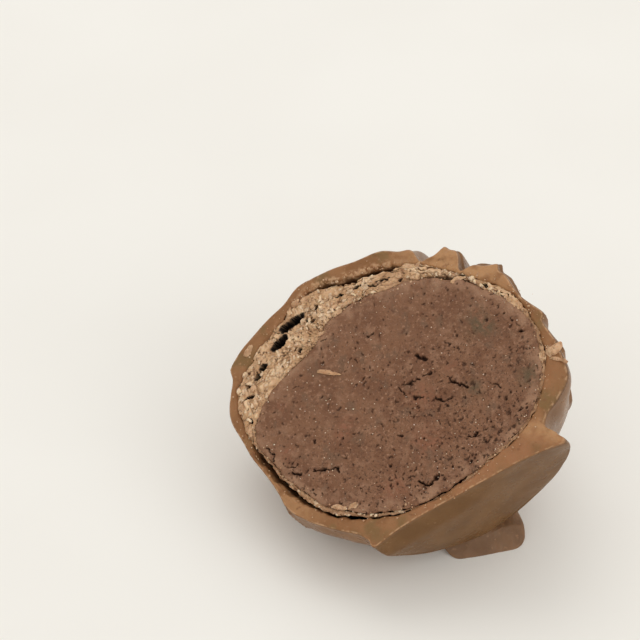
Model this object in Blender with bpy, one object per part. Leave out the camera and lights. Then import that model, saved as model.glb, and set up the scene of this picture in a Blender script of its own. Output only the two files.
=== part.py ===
"""Half of a hand-dipped chocolate truffle, cut straight down and lying on its rounded back.

The piece is laid out upright first: X runs along the base, Y from the base up to the crown and
Z out of the cut face, so the food lies at negative Z. It is then tipped back on to the table,
cut flat where it touches, and centred, so that +Z is up and the table is at Z = 0.
"""
from math import cos, exp, hypot, pi, radians, sin

import bmesh
import bpy
from mathutils import Matrix, Vector

MM = 0.001
TOUCHING = 0.05

BASE_MIDDLE = 2.6
BASE_HALF_WIDTH = 11.7

# Cut outline of each layer in mm, from its lowest point up to its crown:
# (height above the base, left edge, right edge)
COATING_OUTSIDE = (
    (0.0, BASE_MIDDLE, BASE_MIDDLE),
    (0.0, -3.6, 8.8),
    (0.0, -8.9, 14.1),
    (0.9, -9.6, 14.2),
    (2.0, -10.6, 13.4),
    (3.1, -11.9, 14.1),
    (4.2, -13.2, 16.0),
    (6.0, -15.0, 17.6),
    (8.6, -16.3, 18.1),
    (13.0, -17.2, 18.0),
    (17.0, -17.7, 17.5),
    (20.5, -17.9, 16.5),
    (23.3, -17.2, 14.3),
    (26.0, -15.7, 11.9),
    (28.2, -12.9, 8.9),
    (29.8, -9.2, 4.4),
    (30.3, -3.0, -3.0),
)
GANACHE_OUTSIDE = (
    (1.9, 0.4, 0.4),
    (2.1, -4.2, 5.2),
    (3.1, -7.8, 9.8),
    (4.8, -10.6, 12.6),
    (7.0, -12.6, 14.6),
    (9.6, -13.9, 15.5),
    (12.6, -15.1, 15.9),
    (15.8, -15.3, 15.3),
    (18.2, -15.2, 14.4),
    (20.3, -14.1, 13.1),
    (22.0, -11.6, 11.4),
    (23.6, -8.2, 9.2),
    (25.0, -4.9, 6.2),
    (25.7, 0.0, 0.0),
)
FILLING_MIDDLE = 13.5
LEAN_OF_LAYERS = 0.35
FIT_GAP = 0.3

CRUMB_THICKNESS = 0.5
# (direction round the cut face in degrees from +X, extra thickness in mm, spread in degrees)
CRUMB_SWELLS = ((122.0, 3.2, 30.0), (60.0, 1.2, 28.0))
SWELL_DEPTH = 9.0

# Depth behind the cut as a share of the half width, at the base and from a height upwards
BASE_DEPTH = 1.16
HALF_DEPTH = 1.02
HALF_DEPTH_FROM = 9.0

# The coating swells a little behind the cut
EDGE_BULGE = 0.55
EDGE_BULGE_DEPTH = 2.6
EDGE_BULGE_FROM = 3.0

# The two horns, where the lip round the base ends at the cut and dips below the base
HORN_DROP = 0.6
HORN_HEIGHT = 1.6
HORN_DEPTH = 3.2

# Folds left by the dipping fork: (points as (degrees round from the left, height), rise, half width)
FOLDS = (
    (((196.0, 27.2), (150.0, 27.0), (104.0, 25.0), (66.0, 21.6), (40.0, 16.4)), 1.5, 1.9),
    (((196.0, 24.4), (154.0, 23.0), (122.0, 19.2), (106.0, 14.6)), 1.2, 1.7),
    (((-16.0, 27.0), (22.0, 24.6), (34.0, 22.4)), 0.7, 1.8),
    (((192.0, 14.4), (158.0, 12.4), (138.0, 7.4)), 0.7, 1.6),
    (((84.0, 30.0), (70.0, 27.4)), 0.9, 1.5),
    (((56.0, 15.0), (98.0, 13.4)), 1.0, 5.0),
)
# Folds die away towards the base and towards the crown, where the body is narrow
FOLDS_FADE_BELOW = 6.0
FOLDS_FADE_WITHIN = 9.0

COATING_STEPS = (42, 34)
LAYER_STEPS = (24, 20)

# The foot, a slab of chocolate that set under the base, near its back edge.
# Its levels are (drop as a share of the thickness, spread)
FOOT_LEVELS = ((0.0, 1.0), (-0.25, 1.06), (-0.8, 1.0), (-1.0, 0.9))
FOOT_MIDDLE = (0.5, -13.2)
FOOT_SIZE = (9.6, 5.4)
FOOT_THICKNESS = 1.9
FOOT_TURN = radians(14.0)
FOOT_SIDES = 28

# How the half lies: the cut face leans back from level, towards a heading, and the base is
# turned round within the face
FACE_LEAN = radians(36.0)
FACE_HEADING = radians(-129.0)
BASE_TURN = radians(147.5)
TABLE_CUT = 0.55


def through(rows, t):
    """A smooth curve through all the rows, at t from 0 to 1."""
    last = len(rows) - 1
    place = min(max(t, 0.0), 1.0) * last
    i = min(int(place), last - 1)
    u = place - i
    before, here, there, after = (rows[min(max(i + k, 0), last)] for k in (-1, 0, 1, 2))
    curve = []
    for a, b, c, d in zip(before, here, there, after):
        slope_in, slope_out = (c - a) / 2, (d - b) / 2
        curve.append(b + u * (slope_in + u * (3 * (c - b) - 2 * slope_in - slope_out
                                              + u * (2 * (b - c) + slope_in + slope_out))))
    return curve


def distance_to_path(x, y, points):
    """Shortest distance from (x, y) to a path of straight runs."""
    shortest = 1e9
    for (ax, ay), (bx, by) in zip(points, points[1:]):
        run = (bx - ax) ** 2 + (by - ay) ** 2
        u = min(max(((x - ax) * (bx - ax) + (y - ay) * (by - ay)) / run, 0.0), 1.0)
        shortest = min(shortest, hypot(x - ax - u * (bx - ax), y - ay - u * (by - ay)))
    return shortest


def fold_rise(round_angle, height, radius):
    """How far the folds lift the coating at one place, in mm."""
    rise = 0.0
    for points, fold_height, width in FOLDS:
        path = [(radians(angle) * radius, level) for angle, level in points]
        away = distance_to_path(round_angle * radius, height, path)
        rise += fold_height * exp(-(away / width) ** 2)
    return rise


def spun_point(height, left, right, round_angle):
    """A point of the half-round body, from the left edge round the back to the right edge."""
    middle, radius = (left + right) / 2, (right - left) / 2
    base_share = max(0.0, 1 - height / HALF_DEPTH_FROM)
    depth = HALF_DEPTH + (BASE_DEPTH - HALF_DEPTH) * base_share
    return Vector((middle - radius * cos(round_angle), height, -radius * depth * sin(round_angle)))


def pushed_out(point, distance):
    """The point moved away from the middle of the filling, within its own slice."""
    middle = Vector((0.0, FILLING_MIDDLE, point.z * LEAN_OF_LAYERS))
    return point + (point - middle).normalized() * distance


def horn_drop(point):
    """How far the lip of the base dips at its two ends, in mm."""
    endness = min(1.0, abs(point.x - BASE_MIDDLE) / BASE_HALF_WIDTH) ** 6
    return HORN_DROP * endness * max(0.0, 1 - point.y / HORN_HEIGHT) * exp(-(point.z / HORN_DEPTH) ** 2)


def coating_outside(t, round_angle):
    height, left, right = through(COATING_OUTSIDE, t)
    point = spun_point(height, left, right, round_angle)
    point.y -= horn_drop(point)
    radius = (right - left) / 2
    if height < TOUCHING:
        return point
    bulge = EDGE_BULGE * (1 - exp(-(point.z / EDGE_BULGE_DEPTH) ** 2))
    bulge *= min(1.0, height / EDGE_BULGE_FROM)
    fade = min(1.0, height / FOLDS_FADE_BELOW, radius / FOLDS_FADE_WITHIN)
    lift = fold_rise(round_angle, height, radius) * fade
    lifted = pushed_out(point, bulge + lift)
    lifted.z = min(lifted.z, 0.0) if 0 < round_angle < pi else 0.0
    return lifted


def ganache_outside(t, round_angle):
    height, left, right = through(GANACHE_OUTSIDE, t)
    return spun_point(height, left, right, round_angle)


def crumb_thickness(point):
    """The pale layer is thin at the base and swells towards the crown, near the cut."""
    direction = Vector((point.x, point.y - FILLING_MIDDLE))
    thickness = CRUMB_THICKNESS
    for angle, swell, spread in CRUMB_SWELLS:
        way = Vector((cos(radians(angle)), sin(radians(angle))))
        apart = direction.angle(way, 0.0) / radians(spread)
        thickness += swell * exp(-apart ** 2 - (point.z / SWELL_DEPTH) ** 2)
    return thickness


def layer(extra):
    """A surface outside the ganache: extra(point) mm away from it, flat at the cut."""
    def surface(t, round_angle):
        point = ganache_outside(t, round_angle)
        moved = pushed_out(point, extra(point))
        moved.z = min(moved.z, 0.0) if 0 < round_angle < pi else 0.0
        return moved
    return surface


crumb_inside = layer(lambda point: FIT_GAP)
crumb_outside = layer(lambda point: FIT_GAP + crumb_thickness(point))
coating_inside = layer(lambda point: 2 * FIT_GAP + crumb_thickness(point))


def add_sheet(mesh, surface, steps, outward):
    """A half-round sheet of faces from the lowest point up to the crown."""
    rings, turns = steps
    bottom = mesh.verts.new(surface(0.0, pi / 2))
    top = mesh.verts.new(surface(1.0, pi / 2))
    rows = [[mesh.verts.new(surface(i / rings, pi * j / turns)) for j in range(turns + 1)]
            for i in range(1, rings)]
    faces = []
    for j in range(turns):
        faces.append((bottom, rows[0][j], rows[0][j + 1]))
        faces.append((top, rows[-1][j + 1], rows[-1][j]))
        for low, high in zip(rows, rows[1:]):
            faces.append((low[j], high[j], high[j + 1], low[j + 1]))
    for face in faces:
        mesh.faces.new(face if outward else face[::-1])


def material(name, colour, roughness):
    finish = bpy.data.materials.new(name)
    finish.use_nodes = True
    shader = finish.node_tree.nodes["Principled BSDF"]
    shader.inputs["Base Color"].default_value = (*colour, 1.0)
    shader.inputs["Roughness"].default_value = roughness
    shader.inputs["Metallic"].default_value = 0.0
    return finish


def add_object(name, mesh, finish):
    bmesh.ops.recalc_face_normals(mesh, faces=mesh.faces)
    data = bpy.data.meshes.new(name)
    mesh.to_mesh(data)
    mesh.free()
    data.materials.append(finish)
    data.shade_smooth()
    data.set_sharp_from_angle(angle=radians(40.0))
    piece = bpy.data.objects.new(name, data)
    bpy.context.collection.objects.link(piece)
    return piece


def close_cut_face(mesh):
    edges = [edge for edge in mesh.edges if edge.is_boundary]
    bmesh.ops.triangle_fill(mesh, edges=edges, use_beauty=True, normal=(0.0, 0.0, 1.0))


def build_coating():
    mesh = bmesh.new()
    add_sheet(mesh, coating_outside, COATING_STEPS, outward=True)
    add_sheet(mesh, coating_inside, LAYER_STEPS, outward=False)
    close_cut_face(mesh)
    return add_object("coating", mesh, material("milk_chocolate", (0.27, 0.14, 0.075), 0.42))


def build_crumb_layer():
    mesh = bmesh.new()
    add_sheet(mesh, crumb_outside, LAYER_STEPS, outward=True)
    add_sheet(mesh, crumb_inside, LAYER_STEPS, outward=False)
    close_cut_face(mesh)
    return add_object("crumb_layer", mesh, material("pale_crumb", (0.40, 0.25, 0.12), 0.9))


def build_ganache():
    mesh = bmesh.new()
    add_sheet(mesh, ganache_outside, LAYER_STEPS, outward=True)
    close_cut_face(mesh)
    return add_object("ganache", mesh, material("ganache", (0.18, 0.085, 0.046), 0.75))


def build_foot():
    """A rounded slab, hung under the base and leaning back a little past it."""
    mesh = bmesh.new()
    centre_x, centre_z = FOOT_MIDDLE
    rings = []
    for drop, spread in FOOT_LEVELS:
        ring = []
        for k in range(FOOT_SIDES):
            angle = 2 * pi * k / FOOT_SIDES
            reach = 1 + 0.07 * sin(2 * angle + 0.6) + 0.05 * sin(3 * angle)
            x = FOOT_SIZE[0] / 2 * spread * reach * cos(angle)
            z = FOOT_SIZE[1] / 2 * spread * reach * sin(angle)
            x, z = (x * cos(FOOT_TURN) - z * sin(FOOT_TURN), x * sin(FOOT_TURN) + z * cos(FOOT_TURN))
            ring.append(mesh.verts.new((centre_x + x, -FIT_GAP + drop * FOOT_THICKNESS, centre_z + z)))
        rings.append(ring)
    for upper, lower in zip(rings, rings[1:]):
        for k in range(FOOT_SIDES):
            after = (k + 1) % FOOT_SIDES
            mesh.faces.new((upper[k], upper[after], lower[after], lower[k]))
    mesh.faces.new(rings[0])
    mesh.faces.new(rings[-1])
    return add_object("foot", mesh, material("foot_chocolate", (0.17, 0.095, 0.048), 0.45))


def tip_back():
    """The turn from the upright layout to the way the half lies."""
    return (Matrix.Rotation(FACE_HEADING, 4, "Z") @ Matrix.Rotation(FACE_LEAN, 4, "Y")
            @ Matrix.Rotation(BASE_TURN, 4, "Z"))


def lowest(piece):
    return min(vertex.co.z for vertex in piece.data.vertices)


def trim_to_table(piece):
    """Cut away what would reach below the table, and close the flat spot."""
    mesh = bmesh.new()
    mesh.from_mesh(piece.data)
    cut = bmesh.ops.bisect_plane(mesh, geom=mesh.verts[:] + mesh.edges[:] + mesh.faces[:],
                                 plane_co=(0, 0, 0), plane_no=(0, 0, 1), clear_inner=True)
    edges = [item for item in cut["geom_cut"] if isinstance(item, bmesh.types.BMEdge)]
    bmesh.ops.triangle_fill(mesh, edges=edges, use_beauty=True, normal=(0.0, 0.0, -1.0))
    for vertex in mesh.verts:
        if abs(vertex.co.z) < 1e-7:
            vertex.co.z = 0.0
    bmesh.ops.recalc_face_normals(mesh, faces=mesh.faces)
    mesh.to_mesh(piece.data)
    mesh.free()


def lay_down(pieces):
    """Tip the pieces over, rest them on the table and centre them over the origin."""
    turn = tip_back() @ Matrix.Scale(MM, 4)
    for piece in pieces:
        piece.data.transform(turn)
    coating = pieces[0]
    table = lowest(coating) + TABLE_CUT * MM
    for piece in pieces:
        piece.data.transform(Matrix.Translation((0, 0, -table)))
    for piece in pieces:
        if lowest(piece) < 0:
            trim_to_table(piece)
    corners = [vertex.co for piece in pieces for vertex in piece.data.vertices]
    middle = [(min(c[axis] for c in corners) + max(c[axis] for c in corners)) / 2 for axis in (0, 1)]
    for piece in pieces:
        piece.data.transform(Matrix.Translation((-middle[0], -middle[1], 0)))


for leftover in list(bpy.data.objects):
    bpy.data.objects.remove(leftover)

lay_down([build_coating(), build_crumb_layer(), build_ganache(), build_foot()])
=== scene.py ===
"""Half of a hand-dipped chocolate truffle on a pale table, cut face up."""
import math

import bpy
import numpy as np
from mathutils import Euler, Matrix, Vector


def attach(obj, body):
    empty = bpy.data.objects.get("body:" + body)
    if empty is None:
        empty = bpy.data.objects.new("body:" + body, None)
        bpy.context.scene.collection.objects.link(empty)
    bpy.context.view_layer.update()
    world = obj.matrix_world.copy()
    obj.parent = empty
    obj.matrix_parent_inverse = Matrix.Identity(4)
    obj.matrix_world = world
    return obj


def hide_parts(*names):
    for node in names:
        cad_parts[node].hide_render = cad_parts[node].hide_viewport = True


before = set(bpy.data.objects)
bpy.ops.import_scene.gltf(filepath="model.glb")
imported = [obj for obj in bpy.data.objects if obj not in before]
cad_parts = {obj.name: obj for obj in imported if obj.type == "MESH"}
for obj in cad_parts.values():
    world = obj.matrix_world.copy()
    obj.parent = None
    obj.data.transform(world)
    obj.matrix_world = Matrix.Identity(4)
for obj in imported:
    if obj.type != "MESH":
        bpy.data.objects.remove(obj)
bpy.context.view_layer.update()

bpy.ops.object.select_all(action="DESELECT")


# ---------------------------------------------------------------------------------------------
# The coating. Milk chocolate that the truffle was dipped in: folds and a fork's swirl on the
# dome, a flat base with a sharp lip, and a wall 1 to 3 mm thick that the knife broke unevenly.
# It is laid out flat on the bench in mm: X along the base, Y up to the crown, Z out of the cut.
# ---------------------------------------------------------------------------------------------

MM = 0.001
FACE_LEAN = math.radians(36.0)
FACE_HEADING = math.radians(-129.0)
BASE_TURN = math.radians(147.5)
FACE_MIDDLE = (0.3, 13.8)
FILLING_MIDDLE = (0.3, 13.5)

lean = (Matrix.Rotation(FACE_HEADING, 4, "Z") @ Matrix.Rotation(FACE_LEAN, 4, "Y")
        @ Matrix.Rotation(BASE_TURN, 4, "Z"))
unleaned = np.array([v.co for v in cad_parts["ganache"].data.vertices]) @ np.array(lean.to_3x3())
low, high = unleaned.min(0), unleaned.max(0)
face_place = Vector(((low[0] + high[0]) / 2, (low[1] + high[1]) / 2, high[2]))
from_bench = (lean @ Matrix.Translation(face_place) @ Matrix.Scale(MM, 4)
              @ Matrix.Translation((-FACE_MIDDLE[0], -FACE_MIDDLE[1], 0.0)))

# (height above the base, left edge, right edge)
COATING_PROFILE = np.array((
    (0.0, 2.6, 2.6), (0.0, -3.6, 8.8), (0.0, -8.9, 14.1), (0.9, -9.6, 14.2), (2.0, -10.6, 13.4),
    (3.1, -11.9, 14.1), (4.2, -13.2, 16.0), (6.0, -15.0, 17.6), (8.6, -16.3, 18.1),
    (13.0, -17.2, 18.0), (17.0, -17.7, 17.5), (20.5, -17.9, 16.5), (23.3, -17.2, 14.3),
    (26.0, -15.7, 11.9), (28.2, -12.9, 8.9), (29.8, -9.2, 4.4), (30.3, -3.0, -3.0)))
BASE_MIDDLE, BASE_HALF_WIDTH = 2.6, 11.7
HORN_DROP, HORN_HEIGHT, HORN_DEPTH = 0.6, 1.6, 3.2
BASE_DEPTH, HALF_DEPTH, HALF_DEPTH_FROM = 1.16, 1.02, 9.0
EDGE_BULGE, EDGE_BULGE_DEPTH, EDGE_BULGE_FROM = 0.55, 2.6, 3.0
# The base sags below flat: how far, over what depth behind the cut, and between which X
SAG, SAG_DEPTH, SAG_FROM, SAG_TO, SAG_HEIGHT = 0.95, 3.5, 7.5, -1.0, 6.0
FOLDS_FADE_BELOW, FOLDS_FADE_WITHIN = 6.0, 9.0

# Folds: (points as (degrees round from the left, height), rise, half width on its steep side
# and on its long side); the steep side is on the left of the way the points run
FOLDS = (
    (((200, 25.0), (186, 26.0), (150, 27.2), (104, 25.0), (66, 21.6), (40, 16.4), (30, 11.0)),
     1.45, 0.5, 2.8),
    (((196, 20.6), (154, 22.2), (122, 19.2), (106, 14.6), (104, 10.0)), 1.15, 0.45, 2.4),
    (((-16, 27.0), (22, 24.6), (34, 22.4), (38, 18.0)), 0.75, 1.5, 0.5),
    (((192, 14.4), (158, 12.4), (138, 7.4)), 0.75, 0.5, 1.9),
    (((84, 30.0), (70, 27.4)), 0.9, 1.1, 1.7),
    (((56, 15.0), (98, 13.4)), 1.0, 5.0, 5.0),
    (((22, 20.5), (26, 13.5), (16, 7.0)), 0.5, 0.4, 1.9),
    (((138, 26.6), (133, 21.5), (146, 14.5), (143, 9.0)), 0.7, 2.2, 0.4),
    (((86, 23.6), (79, 18.0), (86, 9.0)), 0.5, 0.4, 2.0),
    (((176, 9.5), (150, 6.6), (118, 7.6), (92, 5.6)), 0.55, 0.4, 1.6),
    (((6, 8.5), (40, 6.2), (66, 7.2)), 0.45, 1.5, 0.4),
    (((120, 28.8), (98, 27.2), (76, 24.2)), 0.6, 0.4, 1.4),
    (((176, 23.6), (172, 18.0)), 0.5, 0.4, 1.5),
    (((22, 16.8), (40, 14.2), (60, 16.0), (80, 13.4)), 0.42, 0.35, 2.0),
    (((36, 25.5), (56, 20.4), (50, 13.0), (60, 6.5)), 0.5, 0.4, 2.2),
    (((74, 27.0), (66, 21.4), (74, 15.0), (64, 8.4)), 0.4, 1.8, 0.35),
)
# Nubs where the chocolate dripped: (degrees round from the left, height, rise, half width)
NUBS = ((112, 23.2, 0.8, 0.55), (47, 19.4, 0.7, 0.6), (150, 19.0, 0.6, 0.5), (66, 10.4, 0.55, 0.6),
        (128, 9.4, 0.6, 0.7), (24, 23.0, 0.5, 0.5), (98, 20.2, 0.4, 0.4), (165, 1.3, 0.55, 0.75),
        (158, 1.0, 0.35, 0.4))
# Swells and notches of the broken edge: (degrees round from +X, out, half width in degrees,
# how far back it runs)
EDGE_SWELLS = (
    (10, -0.3, 7, 5), (30, -1.0, 6, 4), (37.5, -1.7, 3.0, 12),
    (55.5, -2.2, 3.6, 12), (66, -0.5, 5, 4), (42, 0.5, 3.8, 3), (50.2, -1.65, 3.5, 9), (62, -0.45, 5, 3),
    (16, -0.8, 11, 14), (16, 0.8, 11, 3), (22, 0.3, 4, 3), (97, 0.9, 13, 4), (107, 0.6, 6, 3),
    (134, 0.35, 5, 3),
    (157, 0.6, 9, 4), (172, 0.3, 6, 4), (198, 0.3, 5, 3), (338, 0.4, 8, 4), (244, -0.4, 3, 1.5),
    (352, -1.9, 26, 13), (352, 2.1, 22, 3.4),
)
# Radius of the wall's inner edge, every 15 degrees round from +X
WALL_INSIDE = np.array((17.0, 16.6, 15.5, 15.1, 15.1, 14.9, 15.3, 17.0, 17.3, 18.4, 19.5, 18.3,
                        16.9, 16.0, 15.1, 14.1, 13.3, 12.8, 12.6, 12.8, 13.4, 15.0, 16.2, 17.0))
# Where the wall has come away from what it held: (middle in degrees, width, half extent)
WALL_GAPS = ((85, 0.42, 20), (186, 0.45, 17), (226, 0.3, 24))
CRISP_ROUND, SOFT_ROUND, SIDE_ROUND = 0.08, 0.45, 0.9
RAGGED_INSIDE = ((0.9, 0.12, 41), (0.3, 0.07, 42))
WALL_DEPTH, BOWL_DEPTH = 4.0, 11.0
PROFILE_STEPS, ROUND_STEPS = 340, 164
RIM_STEPS, WALL_STEPS, BOWL_STEPS = 24, 14, 9
# How much closer the grid's lines lie near the cut, and near the edge of the rim
CROWD_AT_CUT, CROWD_AT_EDGE = 1.6, 1.3
THINNEST_WALL = 0.35
FLOW_RELIEF = ((5.5, 0.17, 51), (2.3, 0.045, 52))
RIM_RELIEF = ((2.4, 0.14, 61), (0.9, 0.07, 62), (0.3, 0.022, 63))


def drift(points, size, seed):
    """Smooth random values from -1 to 1 that change over the given size."""
    cells = 48
    lattice = np.random.default_rng(seed).uniform(-1, 1, (cells, cells, cells))
    place = np.asarray(points) / size
    corner = np.floor(place).astype(int)
    part = place - corner
    part = part * part * (3 - 2 * part)
    total = 0.0
    for dx in (0, 1):
        for dy in (0, 1):
            for dz in (0, 1):
                share = (np.abs(1 - dx - part[..., 0]) * np.abs(1 - dy - part[..., 1])
                         * np.abs(1 - dz - part[..., 2]))
                cell = (corner + (dx, dy, dz)) % cells
                total = total + share * lattice[cell[..., 0], cell[..., 1], cell[..., 2]]
    return total


def relief(points, layers):
    """The sum of several drifts, each a (size, height, seed)."""
    return sum(height * drift(points, size, seed) for size, height, seed in layers)


def through(rows, t):
    """A smooth curve through all the rows, for each t from 0 to 1."""
    last = len(rows) - 1
    place = np.clip(t, 0, 1) * last
    i = np.minimum(place.astype(int), last - 1)
    u = (place - i)[..., None]
    a, b, c, d = (rows[np.clip(i + k, 0, last)] for k in (-1, 0, 1, 2))
    slope_in, slope_out = (c - a) / 2, (d - b) / 2
    return b + u * (slope_in + u * (3 * (c - b) - 2 * slope_in - slope_out
                                    + u * (2 * (b - c) + slope_in + slope_out)))


def round_the_face(values, angle):
    """A smooth closed curve through values spaced evenly round from +X."""
    count = len(values)
    place = (angle / (2 * np.pi)) % 1.0 * count
    i = np.floor(place).astype(int)
    u = place - i
    a, b, c, d = (values[(i + k) % count] for k in (-1, 0, 1, 2))
    slope_in, slope_out = (c - a) / 2, (d - b) / 2
    return b + u * (slope_in + u * (3 * (c - b) - 2 * slope_in - slope_out
                                    + u * (2 * (b - c) + slope_in + slope_out)))


def step(low_end, high_end, values):
    """0 below low_end, 1 above high_end and a smooth rise between."""
    share = np.clip((values - low_end) / (high_end - low_end), 0, 1)
    return share * share * (3 - 2 * share)


def turn_away(angle, degrees):
    """Angle in degrees, -180 to 180, from a direction on the face."""
    return (np.degrees(angle) - degrees + 180) % 360 - 180


def round_here(angle, middle, extent, sharpness=4):
    """1 in one direction on the face, and next to nothing further from it than the extent."""
    return np.exp(-(turn_away(angle, middle) / extent) ** sharpness)


def stretches(angle, spans):
    """The sum of flat-topped rises round the face: (middle, height, half extent in degrees)."""
    return sum(rise * round_here(angle, middle, extent, 6) for middle, rise, extent in spans)


def distance_to_path(x, y, points):
    """Distance to a path of straight runs, and on which side of it each point lies."""
    shortest = np.full(x.shape, 1e9)
    side = np.zeros(x.shape)
    for (ax, ay), (bx, by) in zip(points, points[1:]):
        run = (bx - ax) ** 2 + (by - ay) ** 2 + 1e-9
        u = np.clip(((x - ax) * (bx - ax) + (y - ay) * (by - ay)) / run, 0, 1)
        away = np.hypot(x - ax - u * (bx - ax), y - ay - u * (by - ay))
        turn = (bx - ax) * (y - ay) - (by - ay) * (x - ax)
        side = np.where(away < shortest, turn / np.sqrt(run), side)
        shortest = np.minimum(shortest, away)
    return shortest, side


def dome(t, round_angle):
    """Points of the coating's outside, from the base (t = 0) to the crown (t = 1)."""
    height, left, right = np.moveaxis(through(COATING_PROFILE, t), -1, 0)
    middle, radius = (left + right) / 2, (right - left) / 2
    base_share = np.maximum(0, 1 - height / HALF_DEPTH_FROM)
    depth = HALF_DEPTH + (BASE_DEPTH - HALF_DEPTH) * base_share
    point = np.stack([middle - radius * np.cos(round_angle), height,
                      -radius * depth * np.sin(round_angle)], -1)
    endness = np.minimum(1, np.abs(point[..., 0] - BASE_MIDDLE) / BASE_HALF_WIDTH) ** 6
    drop = HORN_DROP * endness * np.maximum(0, 1 - point[..., 1] / HORN_HEIGHT)
    point[..., 1] -= drop * np.exp(-(point[..., 2] / HORN_DEPTH) ** 2)
    lift = np.zeros(height.shape)
    for points, rise, steep, long in FOLDS:
        path = [(np.radians(angle) * radius, level) for angle, level in points]
        away, side = distance_to_path(round_angle * radius, height, path)
        climb, fall = np.exp(-(away / steep) ** 2), np.exp(-((away ** 2 + 0.02) ** 0.5 / long) ** 1.4)
        lift += rise * np.where(side > 0, climb, fall)
    fade = np.minimum(1, np.minimum(height / FOLDS_FADE_BELOW, radius / FOLDS_FADE_WITHIN))
    bulge = EDGE_BULGE * (1 - np.exp(-(point[..., 2] / EDGE_BULGE_DEPTH) ** 2))
    out = lift * fade + bulge * np.minimum(1, height / EDGE_BULGE_FROM)
    for angle, level, rise, size in NUBS:
        away = np.hypot((round_angle - np.radians(angle)) * radius, height - level)
        out += rise * np.exp(-(away / size) ** 4)
    out += relief(point, FLOW_RELIEF)
    sag = SAG * step(0.0, SAG_DEPTH, -point[..., 2]) * step(SAG_FROM, SAG_TO, point[..., 0])
    point[..., 1] -= sag * np.maximum(0, 1 - height / SAG_HEIGHT)
    out = np.where(height < 0.05, 0, out)
    way = point - np.stack([np.zeros_like(height), np.full_like(height, FILLING_MIDDLE[1]),
                            0.35 * point[..., 2]], -1)
    point += way / np.linalg.norm(way, axis=-1, keepdims=True) * out[..., None]
    on_cut = (round_angle == 0) | (round_angle == np.pi)
    point[..., 2] = np.where(on_cut, 0, np.minimum(point[..., 2], 0))
    swell_the_edge(point)
    return point


def swell_the_edge(point):
    """Move points near the broken edge in or out along the cut face."""
    way = point[..., :2] - FILLING_MIDDLE
    angle = np.arctan2(way[..., 1], way[..., 0])
    out = 0.0
    for degrees, swell, width, back in EDGE_SWELLS:
        nearness = np.exp(-(turn_away(angle, degrees) / width) ** 2 - (point[..., 2] / back) ** 2)
        out = out + swell * nearness
    out = out * step(0.0, 0.6, point[..., 1])
    point[..., :2] += way / np.linalg.norm(way, axis=-1, keepdims=True) * out[..., None]


def grid_of(name, points, marks):
    """A grid of faces whose corners are points[row, column]; marks are values at each corner."""
    rows, columns = points.shape[:2]
    bpy.ops.mesh.primitive_grid_add(x_subdivisions=columns - 1, y_subdivisions=rows - 1)
    sheet = bpy.context.object
    sheet.name = sheet.data.name = name
    sheet.data.vertices.foreach_set("co", points.reshape(-1).astype(np.float32))
    mark(sheet, marks)
    return sheet


def mark(piece, marks):
    """Write named values at each vertex, for the piece's material to read."""
    for name, values in marks.items():
        layer = piece.data.attributes.new(name, "FLOAT", "POINT")
        shape = (len(piece.data.vertices),)
        layer.data.foreach_set("value", np.broadcast_to(values, shape).astype(np.float32))


def join(name, sheets, merge):
    """Join sheets into one piece, close the shared edges and turn the faces outwards."""
    bpy.ops.object.select_all(action="DESELECT")
    for sheet in sheets:
        sheet.select_set(True)
    bpy.context.view_layer.objects.active = sheets[0]
    if len(sheets) > 1:
        bpy.ops.object.join()
    piece = bpy.context.object
    piece.name = piece.data.name = name
    bpy.ops.object.mode_set(mode="EDIT")
    bpy.ops.mesh.select_all(action="SELECT")
    bpy.ops.mesh.remove_doubles(threshold=merge)
    bpy.ops.mesh.normals_make_consistent(inside=False)
    bpy.ops.mesh.select_all(action="DESELECT")
    bpy.ops.object.mode_set(mode="OBJECT")
    return piece


def lay_down(piece):
    """Move a piece from the bench to where the half lies, and press it flat on the table."""
    piece.data.transform(from_bench)
    places = np.empty(3 * len(piece.data.vertices), np.float32)
    piece.data.vertices.foreach_get("co", places)
    places[2::3] = np.maximum(places[2::3], 0)
    piece.data.vertices.foreach_set("co", places)
    bpy.ops.object.select_all(action="DESELECT")
    piece.select_set(True)
    bpy.context.view_layer.objects.active = piece
    bpy.ops.object.shade_smooth()
    bpy.ops.object.select_all(action="DESELECT")
    return piece


steps = np.linspace(0, 1, PROFILE_STEPS + 1)
swing = np.linspace(-1, 1, ROUND_STEPS + 1)
swing = (np.sign(swing) * (1 - (1 - np.abs(swing)) ** CROWD_AT_CUT) + 1) / 2 * np.pi
swing[0], swing[-1] = 0.0, np.pi
outside = dome(*np.meshgrid(steps, swing, indexing="ij"))
base_height = through(COATING_PROFILE, steps)[:, :1] + 0 * swing


def edge_round(angle):
    """Radius of the broken edge: crisp along the base, soft where the dome was smeared."""
    base = round_here(angle, 271, 40, 8)
    side = round_here(angle, 340, 22)
    return CRISP_ROUND * base + (SOFT_ROUND + (SIDE_ROUND - SOFT_ROUND) * side) * (1 - base)


def angle_on_face(point):
    """Direction of a point from the middle of the filling."""
    return np.arctan2(point[..., 1] - FILLING_MIDDLE[1], point[..., 0] - FILLING_MIDDLE[0])


def on_face(angle, radius, height=0.0):
    """The point in that direction from the middle of the filling, at that distance."""
    return np.stack(np.broadcast_arrays(FILLING_MIDDLE[0] + radius * np.cos(angle),
                                        FILLING_MIDDLE[1] + radius * np.sin(angle), height), -1)


def wall_radius(angle):
    """How far the coating's inner edge is from the middle of the filling."""
    smooth = round_the_face(WALL_INSIDE, angle) + stretches(angle, WALL_GAPS)
    return smooth + relief(on_face(angle, smooth), RAGGED_INSIDE)


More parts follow.
